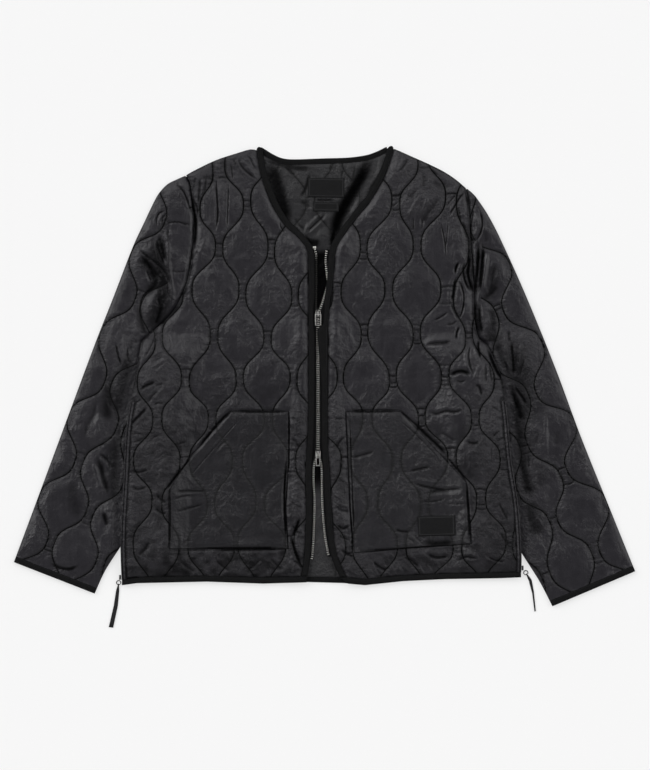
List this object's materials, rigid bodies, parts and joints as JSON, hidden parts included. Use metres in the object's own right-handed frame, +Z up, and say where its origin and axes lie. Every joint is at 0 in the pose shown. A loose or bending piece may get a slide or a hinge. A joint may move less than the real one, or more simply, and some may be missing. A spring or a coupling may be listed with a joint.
{
  "type": "quilted liner field jacket, laid flat",
  "caption": "Collarless black quilted field jacket laid flat on its back, bound edges, zip front open at neck and hem, slanted patch pockets, zip side vents with ribbon pulls.",
  "frame": {"origin": "on the surface that the jacket lies on, under the middle of its box", "axes": "+X across the jacket toward the picture's right, +Y up the back toward the neck, +Z up from the surface toward the fronts"},
  "size_m": [0.9937, 0.7703, 0.0187],
  "materials": {
    "shell_nylon": "black quilted nylon taffeta with a soft sheen, padded with thin batting",
    "inner_nylon": "black quilted nylon, the panel seen from inside at the neck",
    "binding_tape": "matt black woven bias binding, folded over the edge and stitched",
    "zip_tape": "matt black woven zip tape",
    "zip_teeth": "dark silver metal zip teeth",
    "zip_metal": "darkened silver metal, lightly worn",
    "ribbon": "black grosgrain ribbon, doubled",
    "woven_label": "black woven label, bare"
  },
  "bodies": {
    "jacket": {"front_left": "shell_nylon", "front_right": "shell_nylon", "sleeve_left": "shell_nylon", "sleeve_right": "shell_nylon", "pocket_left": "shell_nylon", "pocket_right": "shell_nylon", "back": "inner_nylon", "binding_edge_left": "binding_tape", "binding_edge_right": "binding_tape", "binding_neck_back": "binding_tape", "binding_hem_left": "binding_tape", "binding_hem_right": "binding_tape", "binding_hem_back": "binding_tape", "binding_cuff_left": "binding_tape", "binding_cuff_right": "binding_tape", "binding_vent_front_left": "binding_tape", "binding_vent_front_right": "binding_tape", "binding_vent_back_left": "binding_tape", "binding_vent_back_right": "binding_tape", "zip_tape_left": "zip_tape", "zip_tape_right": "zip_tape", "zip_chain_left": "zip_teeth", "zip_chain_right": "zip_teeth", "vent_zip_left": "zip_teeth", "vent_zip_right": "zip_teeth", "slider_upper": "zip_metal", "slider_lower": "zip_metal", "vent_slider_left": "zip_metal", "vent_slider_right": "zip_metal", "vent_ring_left": "zip_metal", "vent_ring_right": "zip_metal", "vent_ribbon_left": "ribbon", "vent_ribbon_right": "ribbon", "neck_label": "woven_label", "size_label": "woven_label", "pocket_label": "woven_label"},
    "upper_pull": {"pull_upper": "zip_metal"},
    "lower_pull": {"pull_lower": "zip_metal"}
  },
  "joints": [
    {"name": "upper_pull_hinge", "type": "hinge", "parent": "jacket", "child": "upper_pull", "pos_m": [-0.0103, 0.117, 0.0095], "axis": [-1, 0, 0], "range_deg": [0, 165]},
    {"name": "lower_pull_hinge", "type": "hinge", "parent": "jacket", "child": "lower_pull", "pos_m": [-0.0103, -0.106, 0.0095], "axis": [-1, 0, 0], "range_deg": [0, 165]}
  ]
}
